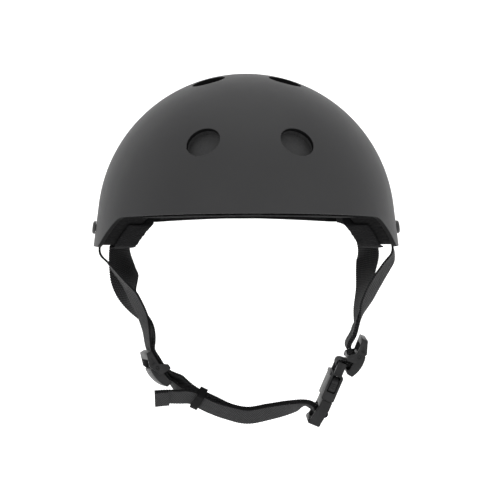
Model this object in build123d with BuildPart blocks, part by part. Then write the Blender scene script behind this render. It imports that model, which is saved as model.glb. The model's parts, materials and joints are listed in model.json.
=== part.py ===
"""A skateboard helmet: hard shell, foam liner, comfort pads and a webbing harness with its buckles.

Millimetres. +Z is up, the front of the helmet faces -Y and the wearer's right hand side is -X.
The origin is the middle of the head opening, level with the bottom edge of the ear tabs.
Left and right in the names are the viewer's, who looks at the front of the helmet.
"""
import os
from math import cos, radians, sin, sqrt, tan

from build123d import *

# Shell: a round dome, seen from the front, that is stretched towards front and back
dome_radius = 102.0            # dome as seen from the front
dome_half_length = 129.5       # the same dome from its middle to the front or the back
crown_height = 119.0           # top of the shell over the ear tabs
shell_wall = 3.0
flare_angle = 7.5              # the side wall leans outward by this many degrees
skirt_drop = 12.0              # how far the raw dome reaches under the ear tabs before the rim is cut

# Rim, seen from the side: distances from the middle and heights over the ear tabs
brow_height = 32.4
temple_reach = 70.0
temple_height = 25.5
ear_front_reach = 36.0
ear_front_height = 3.0
ear_rear_reach = 9.0
nape_reach = 50.0
nape_height = 13.0
rear_height = 11.5
temple_round = 24.0
ear_front_round = 22.0
ear_rear_round = 36.0
nape_round = 40.0

# Vents: round holes in pairs, front to back
vent_radius = 11.4
front_vent_offset = 30.5       # from the middle line to the centre of a front or rear vent
crown_vent_offset = 26.0
vent_reach_shares = {"front": -0.757, "crown_front": -0.155, "crown_rear": 0.33, "rear": 0.757}
vent_cut_depth = 6.0           # deeper than the shell's wall, because the skin curves away
pocket_radius = 12.4           # recess in the foam behind a vent
pocket_depth = 4.5
air_slot_depth = 4.2           # the low part of the recess that goes right through the foam

# Foam liner and comfort pads
liner_gap = 0.3
liner_thickness = 15.0
liner_rise = 1.2               # the foam ends this far over the shell's rim
patch_gap = 0.15
patch_thickness = 1.0
patch_length = 22.0
patch_height = 12.0
pad_thickness = 6.0
pad_drop = 1.4                 # the pads reach this far under the shell's rim
pad_lip = 2.4                  # the pad's turned edge under the foam
front_pad_top = 56.0
front_pad_reach = 74.0         # from the middle to the ends of the front pad
side_pad_top = 46.0
side_pad_front = 62.0
side_pad_rear = 58.0
rear_pad_top = 50.0
rear_pad_reach = 66.0
crown_pad_half_width = 15.0
crown_pad_half_length = 56.0

# Webbing and its rivets
webbing_width = 20.0
webbing_thickness = 1.4
webbing_clearance = 0.35
front_anchor_reach = 8.0       # front rivet, in front of the middle
rear_anchor_reach = 66.0
anchor_height = 14.0
strap_end_rise = 9.0           # webbing over the rivet's centre
rivet_head_radius = 4.5
rivet_head_height = 2.2
rivet_shank_radius = 2.2
rivet_hole_radius = 2.5
rivet_seat_gap = 0.15
strap_depth = 4.5              # middle of the webbing, under the outer skin, at its rivet
washer_radius = 5.0
washer_thickness = 1.0
clinch_radius = 3.2
clinch_thickness = 1.0
channel_half_width = 11.6
channel_depth = 9.2            # strap channel in the foam, from the outer skin
channel_top = 27.0

# Places in the harness are shares of the dome's radius, the dome's half length and the chin's drop
chin_drop = 118.0              # lowest point of the chin strap, under the ear tabs
left_divider_shares = (-0.6549, 0.0618, -0.6102)
right_divider_shares = (0.7745, 0.0463, -0.5339)
buckle_shares = (0.6539, 0.0463, -0.6839)
keeper_shares = (-0.3216, 0.0154, -0.8983)

# Strap dividers, one each side, with their locking levers
left_divider_lean = 30.3       # degrees from straight down, towards the chin
left_divider_turn = 12.0       # its outer face turns to the front by this many degrees
right_divider_lean = 21.1
divider_body_length = 18.0
divider_half_width = 14.4
cheek_wall = 1.8
tab_foot = 1.7                 # underside of the top tab, over the middle of the strap pair
tab_rise = 5.4
tab_length = 4.4
cheek_crest = 8.2
cheek_crest_reach = 9.0
cheek_end_rise = 4.6
cheek_round = 1.2
bar_thickness = 1.6
bar_start = 14.3
bar_length = 2.8
pair_outer_lift = 0.45         # middle of the outer layer of webbing
pair_inner_lift = -1.25        # middle of the inner layer
lever_pivot_reach = 12.6
lever_pivot_rise = 3.9
lever_pin_radius = 1.3
pin_clearance = 0.05
lever_cam_radius = 2.3
lever_tip_reach = 27.6
lever_tip_rise = 4.5
lever_crest_reach = 19.0
lever_crest_rise = 8.2
lever_heel_reach = 11.3
lever_heel_rise = 8.3
lever_plate = 1.8
lever_skirt_wall = 1.6
lever_side_gap = 0.3
lever_skirt_foot = 0.5
layer_end_reach = 13.5         # where an upper strap gives way to the lower one, inside the divider

# Side release buckle
buckle_lean = 23.1
socket_length = 28.0
socket_half_width = 15.5
socket_half_thickness = 4.5
socket_wall = 1.6
socket_side_wall = 2.5
rail_half_thickness = 2.9
rail_wall = 2.7
web_bar_length = 3.0
web_bar_half_thickness = 1.5
web_slot_length = 5.6
window_start = 9.5
window_end = 21.9
guard_ridge_rise = 1.4
guard_ridge_length = 2.4
mouth_gap = 0.4
plug_length = 19.0
plug_half_width = 14.4
collar_length = 5.4
collar_outer_rise = 4.2
collar_inner_drop = 3.4
plug_tail_rise = 2.4
plug_tail_drop = 5.6
plug_rail_wall = 3.4
center_bar_reach = 8.1         # from the mouth end of the plug to the near side of its middle bar
center_bar_length = 2.6
center_bar_top = 1.4
center_bar_foot = -0.8
lip_length = 3.4
lip_rise = 2.7
lip_drop = 6.3
tongue_half_width = 2.2
tongue_half_thickness = 2.0
tongue_reach = 16.0
arm_half_thickness = 2.3
arm_root_radius = 1.7
arm_root_reach = 2.3           # from the mouth end of the plug to the arm's root
arm_root_offset = 9.2
arm_stem_width = 2.4
arm_head_length = 9.4
arm_head_width = 3.9
arm_barb = 1.3
arm_grip_rise = 0.3            # the grip stands this far out of the socket's side
arm_tip_length = 2.0
grip_rib_pitch = 1.5
grip_rib_depth = 0.35
wrap_rise = 5.0                # loose turn of webbing over the plug's middle bar

# Chin strap and its keeper
keeper_lean = 26.0             # degrees under level, going towards the buckle
keeper_turn = 33.0
keeper_length = 5.4
keeper_wall = 1.3
keeper_travel = 8.0
layer_pitch = 1.75             # from the middle of one layer of webbing to the next
overrun = 1.0                  # cuts run this far past what they cut

os.makedirs("parts", exist_ok=True)

dome_centre = crown_height - dome_radius
liner_depth = shell_wall + liner_gap
liner_face = liner_depth + liner_thickness
patch_face = liner_face + patch_gap
pad_back = patch_face + patch_thickness + patch_gap
pad_face = pad_back + pad_thickness


def layer_radius(depth):
    """Cross-section radius of the dome at a depth under the outer skin."""
    return dome_radius - depth


def layer_stretch(depth):
    """How much longer than wide the dome is at that depth, so that the wall keeps its thickness."""
    return (dome_half_length - depth) / layer_radius(depth)


def half_width_at(height, depth):
    """Half width of a layer of the dome at a height, on the middle line between front and back."""
    radius = layer_radius(depth)
    joint_height = dome_centre + radius * sin(radians(flare_angle))
    if height >= joint_height:
        return sqrt(radius**2 - (height - dome_centre) ** 2)
    return radius * cos(radians(flare_angle)) + (joint_height - height) * tan(radians(flare_angle))


def skin_point(side, along, height, depth):
    """Point of a layer of the dome beside the head."""
    half_width = half_width_at(height, depth)
    reach = along / layer_stretch(depth)
    return Vector(side * sqrt(half_width**2 - reach**2), along, height)


def skin_normal(side, along, height, depth):
    """Outward direction of the shell's side wall there."""
    half_width = half_width_at(height, depth)
    point = skin_point(side, along, height, depth)
    rise = half_width * tan(radians(flare_angle))
    return Vector(point.X, along / layer_stretch(depth) ** 2, rise).normalized()


def dome_solid(depth):
    """Filled dome whose skin lies at a depth under the outer skin of the shell."""
    radius = layer_radius(depth)
    joint = (radius * cos(radians(flare_angle)), dome_centre + radius * sin(radians(flare_angle)))
    middle = radians((90 + flare_angle) / 2)
    with BuildPart() as dome:
        with BuildSketch(Plane.XZ):
            with BuildLine():
                crown = ThreePointArc(
                    (0, dome_centre + radius),
                    (radius * cos(middle), dome_centre + radius * sin(middle)),
                    joint,
                )
                Polyline(
                    crown @ 1,
                    (half_width_at(-skirt_drop, depth), -skirt_drop),
                    (0, -skirt_drop),
                    crown @ 0,
                )
            make_face()
        revolve(axis=Axis.Z)
        scale(by=(1, layer_stretch(depth), 1))
    return dome.part


def below_rim(rise):
    """Everything under the rim line, moved up by rise."""
    far = dome_half_length + dome_radius
    brow_slope = (brow_height - temple_height) / (dome_half_length - temple_reach)
    with BuildPart() as low:
        with BuildSketch(Plane.YZ):
            with BuildLine():
                rim = FilletPolyline(
                    (-far, temple_height + brow_slope * (far - temple_reach) + rise),
                    (-temple_reach, temple_height + rise),
                    (-ear_front_reach, ear_front_height + rise),
                    (ear_rear_reach, rise),
                    (nape_reach, nape_height + rise),
                    (far, rear_height + rise),
                    radius=[temple_round, ear_front_round, ear_rear_round, nape_round],
                )
                Polyline(rim @ 1, (far, -far), (-far, -far), rim @ 0)
            make_face()
        extrude(amount=far, both=True)
    return low.part


def vent_planes():
    """A plane on the outer skin for each vent, its x axis pointing downhill."""
    offsets = {"front": front_vent_offset, "rear": front_vent_offset}
    planes = []
    for place, share in vent_reach_shares.items():
        for side in (-1, 1):
            across = side * offsets.get(place, crown_vent_offset)
            along = share * dome_half_length
            height = sqrt(dome_radius**2 - across**2 - (along / layer_stretch(0)) ** 2)
            normal = Vector(across, along / layer_stretch(0) ** 2, height).normalized()
            downhill = Vector(0, 0, -1) + normal * normal.Z
            origin = Vector(across, along, dome_centre + height)
            planes.append(Plane(origin=origin, x_dir=downhill, z_dir=normal))
    return planes


anchors = [(side, along) for side in (-1, 1) for along in (-front_anchor_reach, rear_anchor_reach)]


def anchor_plane(side, along):
    """A plane on the outer skin at a rivet, facing outward."""
    origin = skin_point(side, along, anchor_height, 0)
    return Plane(origin=origin, x_dir=(0, 1, 0), z_dir=skin_normal(side, along, anchor_height, 0))


outer_dome = dome_solid(0)
inner_dome = dome_solid(shell_wall)
liner_dome = dome_solid(liner_depth)
cavity_dome = dome_solid(liner_face)
channel_dome = dome_solid(channel_depth)
under_shell = below_rim(0)
under_liner = below_rim(liner_rise)

# The hard shell, with its vents and rivet holes
with BuildPart() as shell:
    add(outer_dome)
    add(inner_dome, mode=Mode.SUBTRACT)
    add(under_shell, mode=Mode.SUBTRACT)
    for plane in vent_planes():
        with BuildSketch(plane.offset(overrun)):
            Circle(vent_radius)
        extrude(amount=-vent_cut_depth, mode=Mode.SUBTRACT)
    for side, along in anchors:
        with BuildSketch(anchor_plane(side, along).offset(overrun)):
            Circle(rivet_hole_radius)
        extrude(amount=-(shell_wall + 2 * overrun), mode=Mode.SUBTRACT)
shell.part.label = "shell"
export_step(shell.part, "parts/shell.step")

# The foam liner: a recess and an air slot behind each vent, and a channel for each strap end
with BuildPart() as channels:
    add(inner_dome)
    add(channel_dome, mode=Mode.SUBTRACT)
    channel_length = channel_top + skirt_drop + overrun
    channel_middle = (channel_top - skirt_drop - overrun) / 2
    with Locations([(side * dome_radius, along, channel_middle) for side, along in anchors]):
        Box(dome_radius, 2 * channel_half_width, channel_length, mode=Mode.INTERSECT)
strap_channels = channels.part

with BuildPart() as eps_liner:
    add(liner_dome)
    add(cavity_dome, mode=Mode.SUBTRACT)
    add(under_liner, mode=Mode.SUBTRACT)
    add(strap_channels, mode=Mode.SUBTRACT)
    for plane in vent_planes():
        with BuildSketch(plane):
            Circle(pocket_radius)
        extrude(amount=-(liner_depth + pocket_depth), mode=Mode.SUBTRACT)
        with BuildSketch(plane):
            Circle(pocket_radius)
            with Locations((-air_slot_depth, 0)):
                Rectangle(2 * pocket_radius, 2 * pocket_radius, mode=Mode.SUBTRACT)
        extrude(amount=-(liner_face + pocket_radius), mode=Mode.SUBTRACT)
eps_liner.part.label = "eps_liner"
export_step(eps_liner.part, "parts/eps_liner.step")

# Hook patches that hold the pads: thin pieces of one layer of the dome
pad_dome = dome_solid(pad_back)
pad_face_dome = dome_solid(pad_face)
patch_dome = dome_solid(patch_face)
patch_back_dome = dome_solid(patch_face + patch_thickness)
side_patch_height = (side_pad_top + brow_height) / 2
side_patch_reaches = (-side_pad_front / 2, side_pad_rear / 2)
end_patch_height = (front_pad_top + brow_height) / 2
end_patch_offset = front_vent_offset
with BuildPart() as patch_blocks:
    for height, side in [(side_patch_height, -1), (side_patch_height, 1)]:
        low = height - patch_height
        with Locations([(side * dome_radius, along, low) for along in side_patch_reaches]):
            Box(dome_radius, patch_length, patch_height)
    for side in (-1, 1):
        for across in (-end_patch_offset, end_patch_offset):
            with Locations((across, side * dome_half_length, end_patch_height - patch_height / 2)):
                Box(patch_length, dome_half_length, patch_height)
    for side in (-1, 1):
        with Locations((0, side * crown_pad_half_length / 2, crown_height)):
            Box(patch_height, patch_length, dome_radius)
with BuildPart() as pad_hook_patches:
    add(patch_dome)
    add(patch_back_dome, mode=Mode.SUBTRACT)
    add(patch_blocks.part, mode=Mode.INTERSECT)
pad_hook_patches.part.label = "pad_hook_patches"
export_step(pad_hook_patches.part, "parts/pad_hook_patches.step")

# Comfort pads: a layer inside the foam, with a lip that turns out under the foam's edge
lip_dome = dome_solid(channel_depth + webbing_clearance)
under_pads = below_rim(-pad_drop)
over_lip = below_rim(-pad_drop + pad_lip)
with BuildPart() as pad_ring:
    add(pad_dome)
    add(pad_face_dome, mode=Mode.SUBTRACT)
    add(under_pads, mode=Mode.SUBTRACT)
with BuildPart() as lip_ring:
    add(lip_dome)
    add(pad_face_dome, mode=Mode.SUBTRACT)
    add(over_lip, mode=Mode.INTERSECT)
    add(under_pads, mode=Mode.SUBTRACT)
with BuildPart() as lipped_ring:
    add(pad_ring.part)
    add(lip_ring.part)
pads = {
    "front_pad": (0, -dome_half_length, dome_half_length - front_pad_reach, front_pad_top, dome_radius),
    "rear_pad": (0, dome_half_length, dome_half_length - rear_pad_reach, rear_pad_top, dome_radius),
}
for name, (across, along, reach, top, half) in pads.items():
    with BuildPart() as end_pad:
        add(lipped_ring.part)
        with Locations((across, along, (top - skirt_drop) / 2)):
            Box(2 * half, 2 * reach, top + skirt_drop, mode=Mode.INTERSECT)
    end_pad.part.label = name
    export_step(end_pad.part, f"parts/{name}.step")
side_pad_middle = ((side_pad_rear - side_pad_front) / 2, (side_pad_top - skirt_drop) / 2)
for name, side in [("side_pad_left", -1), ("side_pad_right", 1)]:
    with BuildPart() as side_pad:
        add(lipped_ring.part)
        with Locations((side * dome_radius, *side_pad_middle)):
            Box(dome_radius, side_pad_rear + side_pad_front, side_pad_top + skirt_drop, mode=Mode.INTERSECT)
    side_pad.part.label = name
    export_step(side_pad.part, f"parts/{name}.step")
with BuildPart() as crown_pad:
    add(pad_dome)
    add(pad_face_dome, mode=Mode.SUBTRACT)
    with BuildSketch(Plane.XY.offset(dome_centre)):
        SlotOverall(2 * crown_pad_half_length, 2 * crown_pad_half_width, rotation=90)
    extrude(amount=dome_radius, mode=Mode.INTERSECT)
crown_pad.part.label = "crown_pad"
export_step(crown_pad.part, "parts/crown_pad.step")

# Rivets through the shell and the strap ends, and the washers behind the webbing
webbing_back = strap_depth + webbing_thickness / 2
washer_face = webbing_back + rivet_seat_gap
clinch_face = washer_face + washer_thickness + rivet_seat_gap
with BuildPart() as rivet:
    with BuildSketch(Plane.XZ):
        with BuildLine():
            head_top = rivet_seat_gap + rivet_head_height
            brim = (rivet_head_radius, rivet_seat_gap + rivet_head_height / 5)
            foot = -(clinch_face + clinch_thickness)
            head = Spline((0, head_top), brim, tangents=[(1, 0), (0, -1)])
            Polyline(
                head @ 1,
                (rivet_head_radius, rivet_seat_gap),
                (rivet_shank_radius, rivet_seat_gap),
                (rivet_shank_radius, -clinch_face),
                (clinch_radius, -clinch_face),
                (clinch_radius, foot),
                (0, foot),
                (0, head_top),
            )
        make_face()
    revolve(axis=Axis.Z)
with BuildPart() as strap_rivets:
    with Locations(*[anchor_plane(side, along) for side, along in anchors]):
        add(rivet.part)
strap_rivets.part.label = "strap_rivets"
export_step(strap_rivets.part, "parts/strap_rivets.step")

with BuildPart() as rivet_washers:
    for side, along in anchors:
        with BuildSketch(anchor_plane(side, along).offset(-washer_face)):
            Circle(washer_radius)
            Circle(rivet_hole_radius, mode=Mode.SUBTRACT)
        extrude(amount=-washer_thickness)
rivet_washers.part.label = "rivet_washers"
export_step(rivet_washers.part, "parts/rivet_washers.step")


def free_place(shares):
    """World point of a place in the harness."""
    return Vector(shares[0] * dome_radius, shares[1] * dome_half_length, shares[2] * chin_drop)


def device_plane(shares, lean, turn, side):
    """Plane of a buckle: its x axis runs down the strap, its y axis points away from the head."""
    down = Vector(-side * sin(radians(lean)), 0, -cos(radians(lean)))
    away = Vector(-side * down.Z, 0, side * down.X)
    away = away * cos(radians(turn)) - Vector(0, sin(radians(turn)), 0)
    return Plane(origin=free_place(shares), x_dir=down, z_dir=down.cross(away))


def spot(plane, along, rise, across=0):
    """World point of a place on a buckle."""
    return plane.from_local_coords(Vector(along, rise, across))


divider_planes = {
    "left": device_plane(left_divider_shares, left_divider_lean, left_divider_turn, -1),
    "right": device_plane(right_divider_shares, right_divider_lean, 0, 1),
}
buckle_plane = device_plane(buckle_shares, buckle_lean, 0, 1)
lever_half_width = divider_half_width - cheek_wall - lever_side_gap
bar_top = pair_inner_lift - webbing_thickness / 2 - webbing_clearance
bar_foot = bar_top - bar_thickness

for name, plane in divider_planes.items():
    # The divider's body: two cheeks joined by the tab on top and by the bar that holds the webbing
    with BuildPart() as divider_body:
        with BuildSketch(plane):
            with BuildLine():
                Polyline(
                    (0, tab_foot),
                    (0, tab_rise),
                    (cheek_crest_reach, cheek_crest),
                    (divider_body_length, cheek_end_rise),
                    (divider_body_length, bar_foot),
                    (bar_start, bar_foot),
                    (cheek_crest_reach + cheek_wall, tab_foot),
                    close=True,
                )
            make_face()
            fillet(vertices().group_by(Axis.Y)[-1] + vertices().group_by(Axis.Y)[0], radius=cheek_round)
        extrude(amount=divider_half_width, both=True)
        for side in (-1, 1):
            with BuildSketch(plane.offset(side * divider_half_width)):
                with BuildLine():
                    Polyline(
                        (tab_length, tab_foot + cheek_wall),
                        (tab_length, tab_rise - cheek_wall / 2),
                        (cheek_crest_reach, cheek_crest - cheek_wall),
                        (cheek_crest_reach, tab_foot + cheek_wall),
                        close=True,
                    )
                make_face()
            extrude(amount=-side * cheek_wall / 2, mode=Mode.SUBTRACT)
        with BuildSketch(plane):
            with Locations((tab_length + divider_body_length, cheek_crest / 2)):
                Rectangle(2 * divider_body_length, 2 * cheek_crest, align=Align.CENTER)
        extrude(amount=divider_half_width - cheek_wall, both=True, mode=Mode.SUBTRACT)
        with BuildSketch(plane):
            with Locations((bar_start + bar_length / 2, bar_top - bar_thickness / 2)):
                RectangleRounded(bar_length, bar_thickness, bar_thickness / 3)
        extrude(amount=divider_half_width - cheek_wall / 2, both=True)
        with BuildSketch(plane):
            with Locations((lever_pivot_reach, lever_pivot_rise)):
                Circle(lever_pin_radius + pin_clearance)
        extrude(amount=divider_half_width + overrun, both=True, mode=Mode.SUBTRACT)
    divider_body.part.label = f"divider_body_{name}"
    export_step(divider_body.part, f"parts/divider_body_{name}.step")

    # Its locking lever: a curved plate with side skirts, a cam over the webbing and two stub pins
    with BuildPart() as divider_lever:
        with BuildSketch(plane):
            with BuildLine():
                back = ThreePointArc(
                    (lever_heel_reach, lever_heel_rise),
                    (lever_crest_reach, lever_crest_rise),
                    (lever_tip_reach, lever_tip_rise),
                )
                Polyline(
                    back @ 1,
                    (lever_tip_reach - lever_plate / 3, lever_skirt_foot),
                    (divider_body_length, pair_outer_lift + webbing_thickness),
                    (lever_heel_reach, lever_pivot_rise),
                    back @ 0,
                )
            make_face()
            with Locations((lever_pivot_reach, lever_pivot_rise)):
                Circle(lever_cam_radius)
        extrude(amount=lever_half_width, both=True)
        with BuildSketch(plane):
            with BuildLine():
                hollow = ThreePointArc(
                    (lever_pivot_reach + lever_cam_radius, lever_heel_rise - lever_plate),
                    (lever_crest_reach, lever_crest_rise - lever_plate),
                    (lever_tip_reach - lever_plate, lever_tip_rise - lever_plate / 2),
                )
                Polyline(
                    hollow @ 1,
                    (lever_tip_reach - lever_plate, -lever_heel_rise),
                    (lever_pivot_reach + lever_cam_radius, -lever_heel_rise),
                    hollow @ 0,
                )
            make_face()
        extrude(amount=lever_half_width - lever_skirt_wall, both=True, mode=Mode.SUBTRACT)
        with BuildSketch(plane):
            with Locations((lever_pivot_reach, lever_pivot_rise)):
                Circle(lever_pin_radius)
        extrude(amount=divider_half_width - cheek_wall / 4, both=True)
    divider_lever.part.label = f"divider_lever_{name}"
    export_step(divider_lever.part, f"parts/divider_lever_{name}.step")

# Buckle socket: a flat box, open at the mouth and at both sides, with a bar for the webbing on top
mouth = socket_length
cavity_half_width = socket_half_width - socket_side_wall
cavity_half_thickness = socket_half_thickness - socket_wall
box_start = web_bar_length + web_slot_length
with BuildPart() as buckle_socket:
    with BuildSketch(buckle_plane):
        with Locations(((box_start + mouth) / 2, 0)):
            RectangleRounded(mouth - box_start, 2 * socket_half_thickness, socket_wall)
    extrude(amount=socket_half_width, both=True)
    with BuildSketch(buckle_plane):
        with Locations((window_start / 2, 0)):
            Rectangle(window_start, 2 * rail_half_thickness)
    extrude(amount=socket_half_width - socket_side_wall / 2, both=True)
    with BuildSketch(buckle_plane):
        with Locations(((box_start - overrun) / 2, 0)):
            Rectangle(box_start + overrun, 2 * socket_half_thickness + overrun)
    extrude(amount=webbing_width / 2 + webbing_clearance, both=True, mode=Mode.SUBTRACT)
    with BuildSketch(buckle_plane):
        with Locations((web_bar_length / 2, 0)):
            RectangleRounded(web_bar_length, 2 * web_bar_half_thickness, web_bar_half_thickness / 2)
    extrude(amount=socket_half_width - socket_side_wall, both=True)
    with BuildSketch(buckle_plane):
        with Locations(((window_start + mouth) / 2 + overrun, 0)):
            Rectangle(mouth - window_start + 2 * overrun, 2 * cavity_half_thickness)
    extrude(amount=cavity_half_width, both=True, mode=Mode.SUBTRACT)
    with BuildSketch(buckle_plane):
        with Locations(((window_start + window_end) / 2, 0)):
            Rectangle(window_end - window_start, 2 * cavity_half_thickness)
    extrude(amount=socket_half_width + overrun, both=True, mode=Mode.SUBTRACT)
    with BuildSketch(buckle_plane):
        with Locations((box_start + guard_ridge_length / 2, -socket_half_thickness)):
            RectangleRounded(guard_ridge_length, guard_ridge_rise, guard_ridge_rise / 3)
    extrude(amount=socket_half_width - socket_side_wall, both=True)
buckle_socket.part.label = "buckle_socket"
export_step(buckle_socket.part, "parts/buckle_socket.step")

# Buckle plug: collar, ladder with its middle bar and flared lip, and the guide tongue
base = mouth + mouth_gap
plug_end = base + plug_length
root_plane = Plane(origin=buckle_plane.origin, x_dir=buckle_plane.x_dir, z_dir=-buckle_plane.y_dir)


def arm_outline(grow, side):
    """The plug arm's outline, drawn flat: a round root, a stem and a barbed head with its grip."""
    root = base + arm_root_reach
    head_back = window_end - mouth_gap
    head_front = head_back - arm_head_length
    barb = cavity_half_width + arm_barb
    grip = socket_half_width + arm_grip_rise
    with BuildSketch(root_plane) as outline:
        with Locations((root, side * arm_root_offset)):
            Circle(arm_root_radius + grow)
        with BuildLine():
            Polyline(
                (root, side * (arm_root_offset - arm_stem_width / 2 - grow)),
                (root, side * (arm_root_offset + arm_stem_width / 2 + grow)),
                (head_back, side * (barb - arm_barb - arm_stem_width / 4 + grow)),
                (head_back, side * barb),
                (head_back - arm_barb, side * grip),
                (head_front + arm_barb, side * grip),
                (head_front, side * (grip - arm_barb)),
                (head_front - arm_tip_length, side * (grip - arm_head_width)),
                (head_front, side * (grip - arm_head_width - arm_stem_width / 2)),
                (head_back, side * (grip - arm_head_width - arm_stem_width / 4)),
                close=True,
            )
        make_face()
    return outline


with BuildPart() as buckle_plug:
    with BuildSketch(buckle_plane):
        with BuildLine():
            Polyline(
                (base, -collar_inner_drop),
                (base, collar_outer_rise),
                (base + collar_length, collar_outer_rise),
                (plug_end - lip_length / 2, plug_tail_rise),
                (plug_end - lip_length / 2, -plug_tail_drop),
                (base + collar_length, -collar_inner_drop),
                close=True,
            )
        make_face()
    extrude(amount=plug_half_width, both=True)
    with BuildSketch(buckle_plane):
        with Locations((base + collar_length + plug_length / 2, 0)):
            Rectangle(plug_length, 2 * plug_length)
    extrude(amount=plug_half_width - plug_rail_wall, both=True, mode=Mode.SUBTRACT)
    with BuildSketch(buckle_plane):
        bar_middle = base + center_bar_reach + center_bar_length / 2
        with Locations((bar_middle, (center_bar_top + center_bar_foot) / 2)):
            RectangleRounded(center_bar_length, center_bar_top - center_bar_foot, center_bar_length / 5)
        with Locations((plug_end - lip_length / 2, (lip_rise - lip_drop) / 2)):
            RectangleRounded(lip_length, lip_rise + lip_drop, lip_length / 3)
    extrude(amount=plug_half_width - plug_rail_wall / 3, both=True)
    with BuildSketch(buckle_plane):
        with Locations((base - tongue_reach / 2 + overrun / 2, 0)):
            Rectangle(tongue_reach + overrun, 2 * tongue_half_thickness)
    extrude(amount=tongue_half_width, both=True)
    for side in (-1, 1):
        with BuildSketch(root_plane):
            with Locations((base + arm_root_reach, side * arm_root_offset)):
                Circle(arm_root_radius + pin_clearance)
            with BuildLine():
                Polyline(
                    (base + arm_root_reach, side * (arm_root_offset - arm_root_radius - pin_clearance)),
                    (base + arm_root_reach, side * (arm_root_offset + arm_root_radius * 4 / 5)),
                    (base - overrun, side * (arm_root_offset + arm_root_radius * 5 / 4)),
                    (base - overrun, side * (arm_root_offset - arm_root_radius * 5 / 4)),
                    close=True,
                )
            make_face()
        extrude(amount=arm_half_thickness + webbing_clearance, both=True, mode=Mode.SUBTRACT)
buckle_plug.part.label = "buckle_plug"
export_step(buckle_plug.part, "parts/buckle_plug.step")

# The plug's two spring arms; the front one is the one that the viewer sees
for name, side in [("latch_arm_front", 1), ("latch_arm_rear", -1)]:
    outline = arm_outline(0, side)
    with BuildPart() as latch_arm:
        extrude(outline.sketch, amount=arm_half_thickness, dir=root_plane.z_dir, both=True)
        grip_line = socket_half_width + arm_grip_rise
        head_middle = window_end - mouth_gap - arm_head_length / 2
        rib_count = int((arm_head_length - 3 * arm_barb) / grip_rib_pitch)
        with BuildSketch(root_plane):
            for rib in range(rib_count):
                reach = head_middle + (rib - (rib_count - 1) / 2) * grip_rib_pitch
                with Locations((reach, side * grip_line)):
                    Rectangle(grip_rib_pitch / 2, 2 * grip_rib_depth)
        extrude(amount=arm_half_thickness + overrun, both=True, mode=Mode.SUBTRACT)
    latch_arm.part.label = name
    export_step(latch_arm.part, f"parts/{name}.step")


# Free stretches of the webbing: each row is a place, as shares of the dome's radius, the dome's half
# length and the chin drop, and the degrees by which the outer face turns to the front
front_strap_shares = {
    "left": [
        (-0.985, -0.069, -0.034, 6),
        (-0.928, -0.068, -0.085, 5),
        (-0.859, -0.045, -0.165, 12),
        (-0.791, 0.004, -0.243, 21),
        (-0.747, 0.040, -0.325, 25),
        (-0.702, 0.062, -0.415, 22),
        (-0.676, 0.066, -0.512, 14),
    ],
    "right": [
        (0.990, -0.069, -0.034, 10),
        (0.963, -0.068, -0.085, 24),
        (0.917, -0.046, -0.153, 28),
        (0.869, -0.015, -0.233, 30),
        (0.822, 0.018, -0.331, 26),
        (0.790, 0.036, -0.415, 8),
    ],
}
rear_strap_shares = {
    "left": [
        (-0.862, 0.478, -0.025, -42),
        (-0.862, 0.425, -0.093, -58),
        (-0.846, 0.355, -0.169, -70),
        (-0.822, 0.278, -0.254, -105),
        (-0.780, 0.205, -0.339, -135),
        (-0.700, 0.132, -0.424, -160),
        (-0.632, 0.077, -0.513, -169),
    ],
    "right": [
        (0.862, 0.478, -0.025, -36),
        (0.870, 0.425, -0.093, -55),
        (0.856, 0.355, -0.178, -45),
        (0.833, 0.265, -0.263, -30),
        (0.798, 0.175, -0.339, -16),
        (0.768, 0.057, -0.424, 8),
    ],
}
chin_shares = [
    (-0.118, 0.012, -0.977, 35),
    (0.010, 0.010, -1.000, 37),
    (0.146, 0.012, -0.981, 36),
    (0.264, 0.018, -0.961, 32),
    (0.365, 0.028, -0.944, 24),
    (0.430, 0.040, -0.937, 12),
]
upper_strand_shares = [(-0.520, 0.058, -0.757, 16), (-0.451, 0.050, -0.801, 30)]
lower_strand_shares = [(-0.472, 0.048, -0.845, 22), (-0.431, 0.033, -0.872, 33)]
free_end_shares = [(-0.461, 0.010, -0.888, 34), (-0.540, 0.004, -0.885, 34), (-0.621, 0.0, -0.891, 36)]
right_bulge_shares = [(-0.42, -0.58), (0.04, -0.51), (0.51, -0.66), (0.75, -0.60), (0.87, -0.28)]


def turned_normals(places, turns, side):
    """Outer face direction at each place, square to the strap and turned to the front."""
    normals = []
    for index, turn in enumerate(turns):
        before, after = places[max(index - 1, 0)], places[min(index + 1, len(places) - 1)]
        run = after - before
        away = Vector(side * run.Z, 0, -side * run.X).normalized()
        normals.append(away * cos(radians(turn)) - Vector(0, sin(radians(turn)), 0))
    return normals


def webbing_strip(places, normals, first_run=None, last_run=None):
    """A strip of webbing through the places, its outer face along the normals."""
    with BuildPart() as strip:
        for index, place in enumerate(places):
            before, after = places[max(index - 1, 0)], places[min(index + 1, len(places) - 1)]
            run = (after - before).normalized()
            if index == 0 and first_run is not None:
                run = first_run
            if index == len(places) - 1 and last_run is not None:
                run = last_run
            with BuildSketch(Plane(origin=place, x_dir=run.cross(normals[index]), z_dir=run)):
                Rectangle(webbing_width, webbing_thickness)
        loft(ruled=True)
    return strip.part


def anchored_stretch(side, along):
    """Places and face directions of a strap end that lies against the inside of the shell."""
    heights = (anchor_height + strap_end_rise, anchor_height, anchor_height / 3)
    places = [skin_point(side, along, height, strap_depth) for height in heights]
    return places, [skin_normal(side, along, height, strap_depth) for height in heights]


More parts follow.
